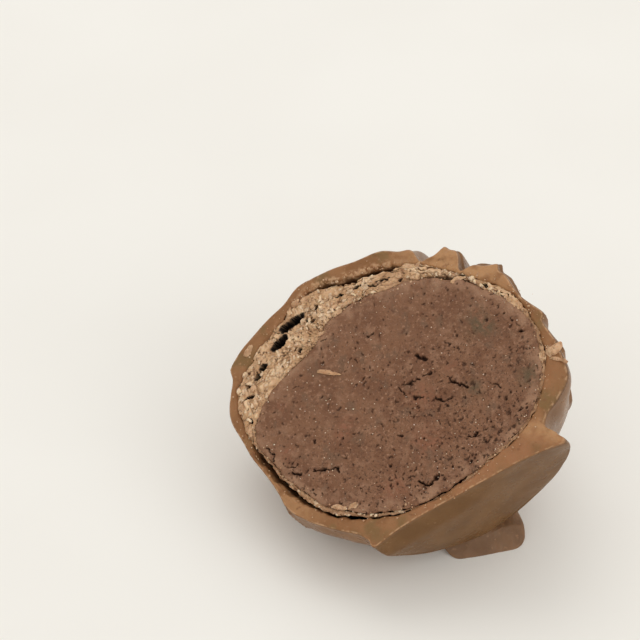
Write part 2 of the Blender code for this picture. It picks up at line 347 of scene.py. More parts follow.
outer = np.concatenate([outside[:, 0], outside[::-1, -1][1:]])
edge_angle = angle_on_face(outer)
outer_radius = np.hypot(*(outer[:, :2] - FILLING_MIDDLE).T)
inner_radius = np.minimum(wall_radius(edge_angle), outer_radius - THINNEST_WALL)
rounding = edge_round(edge_angle)
sink = edge_round(angle_on_face(outside)) * (1 - step(0, 7, -outside[..., 2]))
outside[..., 2] -= sink

# The inside: in over the broken rim, down the wall, and shut by a bowl under the filling
rim_rows = []
for k in range(RIM_STEPS + 1):
    across = (outer_radius - inner_radius) * (k / RIM_STEPS) ** CROWD_AT_EDGE
    climb = np.clip(across / (1.2 * rounding), 0, 1)
    row = on_face(edge_angle, outer_radius - across, -rounding + rounding * np.sqrt(climb * (2 - climb)))
    row[:, 2] += (relief(row, RIM_RELIEF) - 0.06) * step(0, 0.5, across)
    row[:, 2] -= 0.15 * step(0.25, 0, outer_radius - inner_radius - across)
    rim_rows.append(row)
rim_rows[0] = np.concatenate([outside[:, 0], outside[::-1, -1][1:]])
wall_top = rim_rows[-1]
for k in range(1, WALL_STEPS + 1):
    share = k / WALL_STEPS
    pull = 0.05 * share + 0.012 * drift(wall_top * (1, 1, 0) + (0, 0, 4 * share), 0.7, 71)
    row = on_face(edge_angle, inner_radius * (1 - pull))
    row[:, 2] = wall_top[:, 2] - WALL_DEPTH * share ** 1.3
    rim_rows.append(row)
for k in range(1, BOWL_STEPS + 1):
    share = k / BOWL_STEPS * np.pi / 2
    row = on_face(edge_angle, inner_radius * 0.95 * np.cos(share))
    row[:, 2] = wall_top[:, 2] * np.cos(share) - WALL_DEPTH - BOWL_DEPTH * np.sin(share)
    rim_rows.append(row)
inside = np.stack(rim_rows)
reach_in = outer_radius - np.hypot(*np.moveaxis(inside[..., :2] - FILLING_MIDDLE, -1, 0))
cut_share = step(0.0, 0.15, reach_in)
# Painted highlight: a pale line just inside the outer edge of the break, standing in for light catching the
# edge. Near 88 degrees it also marks pale, chalky crumb at the wall's inner edge, which is the chocolate's
# own colour.
edge_highlight_and_chalk = step(0.0, 0.06, reach_in) * step(0.30, 0.12, reach_in)
chalky = step(0.85, 0.30, outer_radius - inner_radius - reach_in)
edge_highlight_and_chalk = np.maximum(edge_highlight_and_chalk, chalky * round_here(edge_angle, 88, 24))
warm = round_here(edge_angle, 290, 50) + 0 * reach_in
# Painted light: an amber glow where light shines through the thin broken edge, on the left, at a point low on
# the right and on the upper right.
amber_glow = 0.55 * round_here(edge_angle, 196, 15) + round_here(edge_angle, 317, 3.5, 2)
amber_glow = np.minimum(1, amber_glow + round_here(edge_angle, 40, 25)) + 0 * reach_in
thin_wall = round_here(edge_angle, 190, 24)
# Painted shade: the wall is coloured darker the further it runs down below the rim, as shade in the gaps
# between wall and crumb, and less so where the wall is thin.
gap_wall_shade = step(0.12, 1.0, wall_top[:, 2] - inside[..., 2]) * (1 - 0.62 * thin_wall)
coating = join("chocolate_coating", [
    grid_of("outside", outside, {"cut": 0.0, "gap_wall_shade": 0.0, "edge_highlight_and_chalk": 0.0, "warm": 0.0, "amber_glow": 0.0,
                                 "base": step(2.2, 0.6, base_height).reshape(-1)}),
    grid_of("inside", inside, {"cut": cut_share.reshape(-1), "gap_wall_shade": gap_wall_shade.reshape(-1),
                               "edge_highlight_and_chalk": edge_highlight_and_chalk.reshape(-1), "base": 0.0,
                               "warm": warm.reshape(-1), "amber_glow": amber_glow.reshape(-1)})], 0.004)
lay_down(coating)


def new_finish(name, roughness, seen_into):
    """A material, with light let into it to the given share; returns it, its nodes and shader."""
    finish = bpy.data.materials.new(name)
    finish.use_nodes = True
    shader = finish.node_tree.nodes["Principled BSDF"]
    shader.inputs["Roughness"].default_value = roughness
    shader.inputs["Subsurface Weight"].default_value = seen_into
    shader.inputs["Subsurface Radius"].default_value = (1.0, 0.45, 0.2)
    shader.inputs["Subsurface Scale"].default_value = 0.0007
    return finish, finish.node_tree, shader


def grain(tree, size, low, high, detail=2.0, stretch=(1, 1, 1)):
    """Smooth noise of the given grain in mm, 0 where it is under low and 1 where it is over high."""
    place = tree.nodes.new("ShaderNodeTexCoord")
    turn = tree.nodes.new("ShaderNodeMapping")
    turn.inputs["Scale"].default_value = [1 / (size * MM * s) for s in stretch]
    turn.inputs["Location"].default_value = (size * 7.7, size * 3.1, size * 5.3)
    noise = tree.nodes.new("ShaderNodeTexNoise")
    noise.inputs["Scale"].default_value = 1.0
    noise.inputs["Detail"].default_value = detail
    spread = tree.nodes.new("ShaderNodeMapRange")
    spread.interpolation_type = "SMOOTHSTEP"
    spread.inputs["From Min"].default_value = low
    spread.inputs["From Max"].default_value = high
    tree.links.new(place.outputs["Object"], turn.inputs["Vector"])
    tree.links.new(turn.outputs["Vector"], noise.inputs["Vector"])
    tree.links.new(noise.outputs["Fac"], spread.inputs["Value"])
    return spread.outputs["Result"]


def marked(tree, name):
    """The values that mark() wrote on the piece."""
    layer = tree.nodes.new("ShaderNodeAttribute")
    layer.attribute_name = name
    return layer.outputs["Fac"]


def times(tree, first, second):
    """The product of two shares; each is a number or a node's output."""
    product = tree.nodes.new("ShaderNodeMath")
    product.operation = "MULTIPLY"
    for value, socket in zip((first, second), product.inputs):
        if isinstance(value, (int, float)):
            socket.default_value = value
        else:
            tree.links.new(value, socket)
    return product.outputs[0]


def tint(tree, share, under, over):
    """From the colour under to the colour over, by share; a colour may be a node's output."""
    mix = tree.nodes.new("ShaderNodeMix")
    mix.data_type = "RGBA"
    tree.links.new(share, mix.inputs["Factor"])
    for colour, socket in ((under, mix.inputs[6]), (over, mix.inputs[7])):
        if isinstance(colour, tuple):
            socket.default_value = (*colour, 1)
        else:
            tree.links.new(colour, socket)
    return mix.outputs[2]


def span(tree, share, low, high):
    """A number from low to high, by share."""
    spread = tree.nodes.new("ShaderNodeMapRange")
    spread.inputs["To Min"].default_value = low
    spread.inputs["To Max"].default_value = high
    tree.links.new(share, spread.inputs["Value"])
    return spread.outputs["Result"]


def roughen(tree, shader, layers):
    """Fine relief in the shading: (share, height in mm) layers, one over the other."""
    last = None
    for share, height in layers:
        bump = tree.nodes.new("ShaderNodeBump")
        bump.inputs["Distance"].default_value = height * MM
        tree.links.new(share, bump.inputs["Height"])
        if last:
            tree.links.new(last, bump.inputs["Normal"])
        last = bump.outputs["Normal"]
    tree.links.new(last, shader.inputs["Normal"])


chocolate, tree, shader = new_finish("milk_chocolate", 0.4, 0.12)
tree.links.new(span(tree, marked(tree, "base"), 0.15, 0.05), shader.inputs["Specular IOR Level"])
skin = tint(tree, grain(tree, 5.0, 0.35, 0.65), (0.190, 0.092, 0.038), (0.235, 0.117, 0.050))
skin = tint(tree, grain(tree, 1.1, 0.62, 0.78, 4.0), skin, (0.252, 0.130, 0.060))
skin = tint(tree, grain(tree, 2.2, 0.60, 0.75, 2.0), skin, (0.165, 0.080, 0.035))
# The base: darker, smoother set chocolate of its own, and partly painted shade, since it faces down towards
# the table.
under = tint(tree, grain(tree, 3.0, 0.35, 0.65, 3.0), (0.148, 0.076, 0.032), (0.178, 0.093, 0.040))
under = tint(tree, grain(tree, 0.5, 0.64, 0.76, 3.0), under, (0.225, 0.128, 0.064))
skin = tint(tree, marked(tree, "base"), skin, under)
broken = tint(tree, grain(tree, 2.6, 0.38, 0.62), (0.238, 0.108, 0.043), (0.292, 0.140, 0.060))
broken = tint(tree, grain(tree, 3.4, 0.50, 0.62, 2.0), broken, (0.212, 0.118, 0.047))
broken = tint(tree, times(tree, marked(tree, "warm"), grain(tree, 3.0, 0.3, 0.6)), broken,
              (0.318, 0.146, 0.066))
# Painted light: an amber glow of light shining through the thin parts of the broken edge.
broken = tint(tree, times(tree, marked(tree, "amber_glow"), grain(tree, 1.3, 0.25, 0.60, 3.0)), broken,
              (0.440, 0.235, 0.108))
broken = tint(tree, grain(tree, 0.6, 0.60, 0.80, 4.0), broken, (0.410, 0.225, 0.118))
broken = tint(tree, grain(tree, 1.0, 0.62, 0.78, 3.0), broken, (0.205, 0.090, 0.038))
# Painted highlight along the broken edge, and pale chalky crumb at the inner edge near the top.
broken = tint(tree, times(tree, marked(tree, "edge_highlight_and_chalk"), grain(tree, 0.55, 0.42, 0.62, 3.0)), broken,
              (0.500, 0.300, 0.165))
colour = tint(tree, marked(tree, "cut"), skin, broken)
# Painted shade: the inner wall darkens down into the gaps.
colour = tint(tree, marked(tree, "gap_wall_shade"), colour, (0.070, 0.028, 0.010))
tree.links.new(colour, shader.inputs["Base Color"])
gloss = tree.nodes.new("ShaderNodeMix")
tree.links.new(marked(tree, "cut"), gloss.inputs["Factor"])
tree.links.new(span(tree, grain(tree, 1.8, 0.3, 0.7, 3.0), 0.25, 0.38), gloss.inputs["A"])
gloss.inputs["B"].default_value = 0.5
tree.links.new(gloss.outputs["Result"], shader.inputs["Roughness"])
roughen(tree, shader, (
    (grain(tree, 1.6, 0.0, 1.0, 2.0), 0.05),
    (times(tree, marked(tree, "cut"), grain(tree, 0.4, 0.3, 0.7, 3.0)), 0.035),
    (grain(tree, 0.15, 0.3, 0.7, 2.0), 0.003)))
coating.data.materials.append(chocolate)
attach(coating, "root")
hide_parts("coating")


# ---------------------------------------------------------------------------------------------
# The ganache. A soft ball of dark ganache, cut through: a matt face, smeared smooth by the
# knife towards the crown, full of small pores towards the base, with cracks round its middle.
# ---------------------------------------------------------------------------------------------

# Radius of the ganache's edge, every 15 degrees round from +X
GANACHE_EDGE = np.array((16.8, 15.7, 14.7, 13.9, 13.2, 12.5, 12.7, 12.8, 12.1, 13.3, 15.6, 17.4,
                         16.2, 15.1, 14.5, 13.6, 12.95, 12.55, 12.4, 12.55, 13.2, 14.8, 15.9, 16.5))
RAGGED_GANACHE = ((2.6, 0.18, 81), (0.9, 0.13, 82), (0.35, 0.08, 83))
GANACHE_STEPS = 288
GANACHE_SIDE = ((0.25, 0.995), (0.6, 0.985), (1.3, 0.97), (2.6, 0.93), (4.6, 0.84), (7.0, 0.68),
                (9.0, 0.46), (10.0, 0.22), (10.3, 0.0))
GANACHE_RELIEF = ((6.0, 0.09, 84), (1.6, 0.045, 85), (0.6, 0.030, 86), (0.3, 0.022, 87),
                  (0.19, 0.012, 88))
EDGE_SLOPE, EDGE_SLOPE_WIDTH = 0.28, 0.7
# Cracks: points on the face, half width and depth
CRACKS = (
    (((1.3, 14.4), (1.8, 14.2), (2.3, 14.0), (3.2, 13.8)), 0.10, 0.5),
    (((4.0, 16.6), (4.2, 16.3), (4.8, 15.6), (5.1, 15.5)), 0.15, 0.6),
    (((6.2, 12.5), (6.3, 12.0), (6.4, 11.7), (6.9, 11.0), (7.5, 10.3)), 0.13, 0.7),
    (((5.9, 11.9), (6.4, 11.8), (6.7, 12.2)), 0.08, 0.5),
    (((3.8, 14.1), (4.1, 13.9), (4.6, 13.8)), 0.10, 0.45),
    (((0.6, 14.3), (0.8, 13.8), (0.9, 13.2), (1.2, 12.8)), 0.07, 0.4),
    (((2.0, 12.2), (2.3, 12.0), (2.5, 11.6)), 0.12, 0.5),
    (((4.0, 11.2), (4.3, 10.6), (4.7, 10.2), (5.4, 10.0)), 0.10, 0.5),
    (((-11.7, 10.5), (-11.0, 10.2), (-10.3, 9.8), (-9.2, 9.2)), 0.13, 0.7),
    (((-14.2, 11.6), (-13.5, 11.0)), 0.14, 0.6),
    (((-14.9, 13.1), (-14.2, 12.4), (-13.2, 12.0)), 0.05, 0.3),
    (((7.6, 16.3), (8.1, 15.3), (8.8, 14.0)), 0.05, 0.25),
    (((10.1, 9.5), (10.4, 8.9), (10.8, 8.2)), 0.06, 0.35),
    (((5.4, 5.3), (5.8, 5.0), (6.3, 5.2)), 0.13, 0.5),
    (((-1.6, 9.4), (-1.1, 9.1)), 0.10, 0.4),
    (((0.1, 21.5), (0.6, 21.3)), 0.12, 0.5),
    (((15.3, 13.1), (15.7, 12.8)), 0.16, 0.6),
    (((-4.9, 23.9), (-4.3, 23.8)), 0.07, 0.3),
    (((-1.9, 3.4), (-0.9, 2.7), (0.2, 2.8), (0.7, 3.3)), 0.15, 0.7),
    (((-15.9, 15.9), (-15.3, 14.6), (-15.6, 13.9)), 0.09, 0.4),
)
PORES = 380
# Lumps pushed up from the face: (x, y, half size, height)
LUMPS = ((12.2, 21.2, 1.0, 0.3), (8.3, 10.1, 1.3, 0.2), (5.1, 12.1, 1.1, 0.18), (4.2, 9.6, 0.9, 0.2),
         (-12.0, 9.7, 0.8, 0.15), (9.4, 24.0, 0.8, 0.18), (2.9, 13.4, 0.9, 0.14))
# Stains: (x, y, half size)
RED_STAINS = ((-6.2, 13.7, 0.9), (-7.3, 12.7, 0.8), (-12.7, 19.2, 0.7), (7.0, 13.2, 0.7),
              (-14.0, 14.2, 0.8), (1.0, 7.0, 1.6), (-4.5, 4.2, 1.4), (3.0, 12.0, 1.4))
GREY_STAINS = ((11.6, 16.4, 1.3), (12.6, 15.2, 0.9), (8.3, 9.7, 0.9), (14.2, 8.0, 1.2))


def ganache_radius(angle):
    """How far the ganache's edge is from its middle."""
    smooth = round_the_face(GANACHE_EDGE, angle)
    return smooth + relief(on_face(angle, smooth), RAGGED_GANACHE) - 0.08


def pore_share(x, y):
    """How likely a pore is: seldom near the crown, where the knife smeared them shut."""
    return np.clip((22.0 - y) / 13.0, 0.12, 1.0) * (0.55 + 0.45 * step(-12, 4, x))


def scattered(count, seed):
    """Random places on the ganache, thicker where there are more pores."""
    rng = np.random.default_rng(seed)
    angle, reach = rng.uniform(0, 2 * np.pi, 4 * count), np.sqrt(rng.uniform(0, 0.95, 4 * count))
    place = on_face(angle, reach * round_the_face(GANACHE_EDGE, angle))[:, :2]
    kept = rng.uniform(0, 1, 4 * count) < pore_share(place[:, 0], place[:, 1])
    return place[kept][:count], rng


def press(x, y, depth, path, half_width, drop):
    """Deepen a ragged crack along a path."""
    near = np.nonzero((x > min(p[0] for p in path) - 1) & (x < max(p[0] for p in path) + 1)
                      & (y > min(p[1] for p in path) - 1) & (y < max(p[1] for p in path) + 1))
    away, _ = distance_to_path(x[near], y[near], path)
    place = np.stack([x[near], y[near], np.zeros(away.shape)], -1)
    width = half_width * (1.05 + 0.75 * drift(place, 0.4, 88))
    depth[near] = np.maximum(depth[near], drop * step(1.0, 0.45, away / width))


def ganache_face(x, y):
    """Height of the cut face, and how far down each point lies in a pore or a crack."""
    flat = np.stack([x, y, np.zeros_like(x)], -1)
    wx, wy = x + 0.15 * drift(flat, 0.3, 91), y + 0.15 * drift(flat, 0.3, 92)
    torn = np.stack([wx, wy, np.zeros_like(x)], -1)
    depth = np.zeros_like(x)
    tx, ty = wx + 0.22 * drift(flat, 0.6, 90), wy + 0.22 * drift(flat, 0.6, 87)
    for path, half_width, drop in CRACKS:
        press(tx, ty, depth, path, half_width, drop)
    places, rng = scattered(PORES, 94)
    for px, py in places:
        size = 0.055 + 0.13 * rng.uniform() ** 3
        drop = size * rng.uniform(0.8, 2.0)
        near = np.nonzero((np.abs(wx - px) < 2 * size) & (np.abs(wy - py) < 2 * size))
        away = np.hypot(wx[near] - px, (wy[near] - py) * rng.uniform(0.8, 1.5)) / size
        depth[near] = np.maximum(depth[near], drop * step(1.15, 0.5, away))
    open_share = np.clip((24.5 - y) / 14.0, 0.0, 1.0) * (0.6 + 0.4 * step(-12, 2, x))
    open_share = open_share * (0.75 + 0.35 * drift(flat, 4.0, 97))
    pits = drift(torn, 0.34, 98) + 0.6 * drift(torn, 0.18, 99)
    pits = step(1.02 - 0.36 * open_share, 1.28 - 0.36 * open_share, pits)
    depth = np.maximum(depth, 0.17 * pits)
    height = relief(flat, GANACHE_RELIEF)
    for lx, ly, size, rise in LUMPS:
        height += rise * step(1.3, 0.7, np.hypot(wx - lx, wy - ly) / size)
    return height, depth, open_share


u, v = np.meshgrid(np.linspace(-1, 1, GANACHE_STEPS + 1), np.linspace(-1, 1, GANACHE_STEPS + 1))
disc_x, disc_y = u * np.sqrt(1 - v * v / 2), v * np.sqrt(1 - u * u / 2)
disc_angle, reach = np.arctan2(disc_y, disc_x), np.hypot(disc_x, disc_y)
ragged = ganache_radius(disc_angle) - round_the_face(GANACHE_EDGE, disc_angle)
face = on_face(disc_angle, reach * (round_the_face(GANACHE_EDGE, disc_angle) + ragged * reach ** 10))
height, depth, open_share = ganache_face(face[..., 0], face[..., 1])
from_edge = (1 - reach) * round_the_face(GANACHE_EDGE, disc_angle)
pressed = EDGE_SLOPE * (1 - 0.8 * round_here(disc_angle, 330, 42))
height -= pressed * (1 - np.sqrt(np.clip(from_edge / EDGE_SLOPE_WIDTH, 0, 1))) ** 1.5
face[..., 2] = height - depth
smear = step(2.2, 0.0, from_edge + 0.7 * drift(face, 0.8, 95))
stains = {}
for name, spots in (("red", RED_STAINS), ("grey", GREY_STAINS)):
    stains[name] = sum(np.exp(-(((face[..., 0] - sx) ** 2 + (face[..., 1] - sy) ** 2) / size ** 2))
                       for sx, sy, size in spots).reshape(-1)
# Painted shade: pores, pits and cracks are coloured darker the deeper they go.
marks = {"hollow_shade": np.clip(depth / 0.24, 0, 1).reshape(-1), "smear": smear.reshape(-1),
         "open": open_share.reshape(-1), **stains}
face_sheet = grid_of("face", face, marks)
border = np.concatenate([face[0, :-1], face[:-1, -1], face[-1, :0:-1], face[::-1, 0]])
side_rows = [border]
for drop, share in GANACHE_SIDE:
    row = border.copy()
    row[:, :2] = FILLING_MIDDLE + (border[:, :2] - FILLING_MIDDLE) * share
    row[:, 2] = border[:, 2] * share - drop
    row[:, :2] += (share > 0.9) * 0.06 * drift(row, 0.4, 96)[:, None]
    side_rows.append(row)
side_sheet = grid_of("side", np.stack(side_rows), {
    "hollow_shade": 0.0, "smear": 1.0, "open": 0.3, "red": 0.0, "grey": 0.0})
ganache = join("ganache_filling", [face_sheet, side_sheet], 0.002)
lay_down(ganache)

filling, tree, shader = new_finish("ganache", 0.6, 0.08)
shader.inputs["Specular IOR Level"].default_value = 0.22
body = tint(tree, grain(tree, 3.4, 0.38, 0.62, 3.0), (0.178, 0.079, 0.040), (0.222, 0.105, 0.055))
body = tint(tree, grain(tree, 1.2, 0.50, 0.70, 3.0), body, (0.262, 0.133, 0.075))
body = tint(tree, grain(tree, 1.5, 0.55, 0.70, 3.0, (1, 1.6, 1)), body, (0.180, 0.094, 0.053))
body = tint(tree, grain(tree, 0.34, 0.54, 0.74, 3.0), body, (0.330, 0.176, 0.104))
body = tint(tree, grain(tree, 0.5, 0.58, 0.72, 4.0), body, (0.138, 0.062, 0.033))
# Painted shade: small dark specks for pores too fine to model, more of them where the ganache is open.
body = tint(tree, times(tree, marked(tree, "open"), grain(tree, 0.22, 0.58, 0.66, 3.0)), body,
            (0.070, 0.031, 0.017))
body = tint(tree, times(tree, marked(tree, "smear"), grain(tree, 1.3, 0.35, 0.6, 3.0)), body,
            (0.330, 0.180, 0.105))
body = tint(tree, times(tree, marked(tree, "red"), grain(tree, 0.6, 0.35, 0.65, 3.0)), body,
            (0.258, 0.108, 0.058))
body = tint(tree, times(tree, marked(tree, "grey"), grain(tree, 0.7, 0.3, 0.6, 3.0)), body,
            (0.128, 0.082, 0.044))
# Painted shade in the pores, pits and cracks, by their depth.
body = tint(tree, marked(tree, "hollow_shade"), body, (0.052, 0.021, 0.011))
tree.links.new(body, shader.inputs["Base Color"])
tree.links.new(span(tree, grain(tree, 0.8, 0.3, 0.7, 3.0), 0.50, 0.72), shader.inputs["Roughness"])
roughen(tree, shader, (
    (grain(tree, 0.5, 0.2, 0.8, 4.0), 0.08),
    (grain(tree, 0.2, 0.3, 0.7, 3.0), 0.05)))
ganache.data.materials.append(filling)
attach(ganache, "root")
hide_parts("ganache")


# ---------------------------------------------------------------------------------------------
# The crumb layer. Dry, pale, open crumb between the ganache and the coating: thick and flaky
# towards the crown, holed where it tore, and no more than a skin round the base.
# ---------------------------------------------------------------------------------------------

CRUMB_AROUND, CRUMB_ACROSS, CRUMB_SIDE_STEPS, CRUMB_DEPTH = 1240, 54, 5, 3.2
# Where it has come away from the ganache: (middle in degrees, width, half extent)
CRUMB_GAPS = ((41, 0.36, 13), (328, 0.05, 20), (243, 0.08, 24))
# Where it stops short of the coating's wall: (middle in degrees, width, half extent)
CRUMB_STOPS = ((84, 0.36, 19), (186, 0.35, 17))
# Torn holes: (x, y, half length, half width, turn in degrees, depth)
HOLES = (
    (-7.2, 27.65, 1.5, 0.42, 5, 2.2), (-8.3, 27.3, 0.5, 0.34, 30, 1.8), (-9.5, 26.2, 1.1, 0.48, 13, 2.4),
    (-12.4, 24.65, 0.5, 0.34, 20, 1.8), (-13.5, 23.95, 0.40, 0.26, 10, 1.5),
    (-14.8, 23.4, 0.22, 0.16, 0, 1.2), (-15.2, 22.2, 0.55, 0.15, -10, 1.2), (-3.9, 27.8, 0.2, 0.14, 30, 1.0),
    (-5.5, 27.0, 0.26, 0.15, 60, 0.9), (-4.9, 26.5, 0.28, 0.12, 15, 0.9), (-7.7, 24.2, 0.25, 0.14, 0, 0.8),
    (4.4, 26.6, 0.75, 0.10, -14, 0.9), (1.6, 27.3, 0.9, 0.10, -10, 0.9), (-0.9, 27.6, 0.5, 0.10, -4, 0.8),
    (3.0, 26.6, 0.6, 0.09, -20, 0.8), (6.2, 25.5, 0.2, 0.16, 0, 0.9), (14.4, 19.7, 0.3, 0.16, -50, 0.9),
    (12.6, 22.3, 0.4, 0.14, -35, 0.9), (15.5, 17.6, 0.22, 0.12, -60, 0.8), (-16.2, 19.6, 0.3, 0.14, -70, 0.9),
)
STRATA_MIDDLE, STRATA_EXTENT, STRATA_STRETCH = 86, 30, 3.0
# Clumps: (size, how far each bulges, how far they stand apart, crack depth, seed)
CRUMB_CLUMPS = ((0.95, 0.07, 0.15, 0.09, 101), (0.40, 0.035, 0.08, 0.05, 102))
CRUMB_SLOPES = ((2.6, 0.12, 104), (0.9, 0.08, 105))
CRUMB_RELIEF = ((0.42, 0.045, 106), (0.24, 0.050, 107), (0.14, 0.036, 108))


def grains(x, y, size, seed):
    """Scattered grains: distance to the nearest and to the next, in sizes, and a random value for each."""
    count = 96
    rng = np.random.default_rng(seed)
    jitter, tones = rng.uniform(0.05, 0.95, (count, count, 2)), rng.uniform(0, 1, (count, count))
    px, py = x / size, y / size
    cx, cy = np.floor(px).astype(int), np.floor(py).astype(int)
    nearest, following, tone_and_relief_light = np.full(px.shape, 9.0), np.full(px.shape, 9.0), np.zeros(px.shape)
    for dx in (-1, 0, 1):
        for dy in (-1, 0, 1):
            i, j = (cx + dx) % count, (cy + dy) % count
            away = np.hypot(cx + dx + jitter[i, j, 0] - px, cy + dy + jitter[i, j, 1] - py)
            closer = away < nearest
            following = np.where(closer, nearest, np.minimum(following, away))
            tone_and_relief_light = np.where(closer, tones[i, j], tone_and_relief_light)
            nearest = np.where(closer, away, nearest)
    return nearest, following, tone_and_relief_light


def crumb_heights(x, y):
    """Height of the crumb, how far a point stands above its surroundings (painted lighter on top and darker
    low down), and its cracks.
    """
    flat = np.stack([x, y, np.zeros_like(x)], -1)
    wx, wy = x + 0.25 * drift(flat, 0.6, 109), y + 0.25 * drift(flat, 0.6, 110)
    wx, wy = wx + 0.07 * drift(flat, 0.18, 119), wy + 0.07 * drift(flat, 0.18, 120)
    across = np.hypot(wx - FILLING_MIDDLE[0], wy - FILLING_MIDDLE[1])
    angle = np.arctan2(wy - FILLING_MIDDLE[1], wx - FILLING_MIDDLE[0])
    flaky = round_here(angle, STRATA_MIDDLE, STRATA_EXTENT)
    stretch = 1.5 + (STRATA_STRETCH - 1.5) * flaky
    along = np.stack([angle * 16 / stretch, across, np.zeros_like(x)], -1)
    slopes = relief(along, CRUMB_SLOPES)
    fine, crack = relief(along, CRUMB_RELIEF), np.zeros_like(x)
    for size, bulge, apart, drop, seed in CRUMB_CLUMPS:
        near, after, shade = grains(along[..., 0], along[..., 1], size, seed)
        split = step(0.16, 0.0, after - near) * step(-0.15, 0.25, drift(flat, 1.2 * size, seed + 50))
        slopes = slopes + apart * (shade - 0.5) - drop * split - bulge * near ** 2
        crack = np.maximum(crack, split)
    pits = drift(along, 0.26, 121) + 0.6 * drift(along, 0.13, 122)
    pits = step(0.70, 0.92, pits + 0.22 * drift(flat, 2.5, 123))
    return slopes + fine - 0.30 * pits, 3.4 * fine + 1.4 * slopes, np.maximum(0.7 * crack, pits)


around = np.linspace(-np.pi, np.pi, CRUMB_AROUND + 1)
closed = round_here(around, 330, 42)
inner = round_the_face(GANACHE_EDGE, around) - 0.05 - 0.24 * closed + stretches(around, CRUMB_GAPS)
inner = inner + relief(on_face(around, inner), ((0.5, 0.10, 111), (0.22, 0.05, 112)))
outer = round_the_face(WALL_INSIDE, around) - 0.02 - stretches(around, CRUMB_STOPS)
outer = outer + relief(on_face(around, outer), ((0.7, 0.16, 113), (0.25, 0.08, 114)))
outer = np.minimum(outer, wall_radius(around) + 0.05)
band = np.maximum(outer - inner, 0.16)
share = np.linspace(0, 1, CRUMB_ACROSS + 1)[:, None]
band_radius = inner + band * share
crumb_top = on_face(around + 0 * share, band_radius)
# The second value sets the painted light and shade of the crumb's relief.
height, tone_and_relief_light, crack = crumb_heights(crumb_top[..., 0], crumb_top[..., 1])
pale = round_here(around, 20, 17)
thin = step(1.1, 0.3, band) * (1 - 0.85 * pale)
height = height * (1 - 0.5 * thin) - 0.02 - 0.30 * thin * (1 - 0.75 * closed)
rim_distance = np.minimum(share, 1 - share) * band
height -= 0.16 * (1 - 0.8 * closed) * (1 - np.sqrt(np.clip(rim_distance / 0.3, 0, 1)))
warp = np.stack([drift(crumb_top, 0.3, 115), drift(crumb_top, 0.3, 116)], -1)
warped = crumb_top[..., :2] + 0.14 * warp
# The torn holes; their share also paints shade, near black inside them and on a ring round their edges.
hole_share = np.zeros(height.shape)
for hx, hy, length, width, turn, drop in HOLES:
    c, s = math.cos(math.radians(turn)), math.sin(math.radians(turn))
    dx, dy = warped[..., 0] - hx, warped[..., 1] - hy
    away = np.hypot((dx * c + dy * s) / length, (dy * c - dx * s) / width)
    inside_hole = step(1.12, 0.95, away)
    height -= drop * inside_hole
    hole_share = np.maximum(hole_share, step(1.34, 1.12, away))
crumb_top[..., 2] = height


def side_row(line, lower, pull_in, seed):
    """A row of the crumb's inner or outer side, the given share of the way down."""
    ragged = 0.05 * drift(crumb_top[line] + (0, 0, 3 * lower), 0.4, seed)
    row = on_face(around, band_radius[line] * (1 - pull_in * lower) + ragged)
    row[:, 2] = crumb_top[line][:, 2] * (1 - lower) - CRUMB_DEPTH * lower
    return row


downward = np.arange(1, CRUMB_SIDE_STEPS + 1) / CRUMB_SIDE_STEPS
outer_side = [side_row(-1, lower, 0.04, 117) for lower in downward]
inner_side = [side_row(0, lower, 0.045, 118) for lower in downward[::-1]]
crumb_grid = np.stack([*crumb_top, *outer_side, *inner_side, crumb_top[0]])
crumb_grid[:, -1] = crumb_grid[:, 0]
blank = np.zeros(crumb_grid.shape[:2])
crumb_marks = {}
for name, values in (("tone_and_relief_light", tone_and_relief_light), ("crack", crack), ("hollow_shade", hole_share),
                     ("thin", thin + 0 * share)):
    whole = blank.copy()
    whole[:CRUMB_ACROSS + 1] = values
    # Painted shade: the band's sides, down in the gaps, are coloured part of the way to near black.
    if name == "hollow_shade":
        whole[CRUMB_ACROSS + 1:-1] = 0.35
    crumb_marks[name] = whole.reshape(-1)
crumb = join("crumb_band", [grid_of("band", crumb_grid, crumb_marks)], 0.0005)
lay_down(crumb)


def between(tree, value, low, high):
    """The share by which a value has gone from low to high."""
    spread = tree.nodes.new("ShaderNodeMapRange")
    spread.inputs["From Min"].default_value = low
    spread.inputs["From Max"].default_value = high
    tree.links.new(value, spread.inputs["Value"])
    return spread.outputs["Result"]


dry_crumb, tree, shader = new_finish("pale_crumb", 0.85, 0.12)
shader.inputs["Specular IOR Level"].default_value = 0.2
body = tint(tree, grain(tree, 1.3, 0.38, 0.62, 3.0), (0.515, 0.300, 0.158), (0.640, 0.402, 0.230))
body = tint(tree, grain(tree, 1.1, 0.58, 0.74, 3.0), body, (0.430, 0.225, 0.120))
body = tint(tree, grain(tree, 0.3, 0.60, 0.74, 3.0), body, (0.360, 0.190, 0.100))
# Painted light and shade: raised bits of crumb are coloured paler as if lit, low ones darker as if in shade.
body = tint(tree, between(tree, marked(tree, "tone_and_relief_light"), 0.0, 0.32), body, (0.810, 0.560, 0.350))
body = tint(tree, between(tree, marked(tree, "tone_and_relief_light"), -0.15, -0.6), body, (0.330, 0.175, 0.095))
# Painted shade: cracks and pits coloured dark, on top of their real depth.
body = tint(tree, times(tree, marked(tree, "crack"), 0.75), body, (0.120, 0.055, 0.026))
body = tint(tree, times(tree, marked(tree, "thin"), 0.7), body, (0.300, 0.155, 0.082))
# Painted shade: near black in the torn holes, and darker on the band's sides.
body = tint(tree, marked(tree, "hollow_shade"), body, (0.012, 0.007, 0.005))
tree.links.new(body, shader.inputs["Base Color"])
roughen(tree, shader, (
    (grain(tree, 0.35, 0.2, 0.8, 4.0), 0.07),
    (grain(tree, 0.11, 0.2, 0.8, 3.0), 0.03)))
crumb.data.materials.append(dry_crumb)
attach(crumb, "root")
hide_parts("crumb_layer")


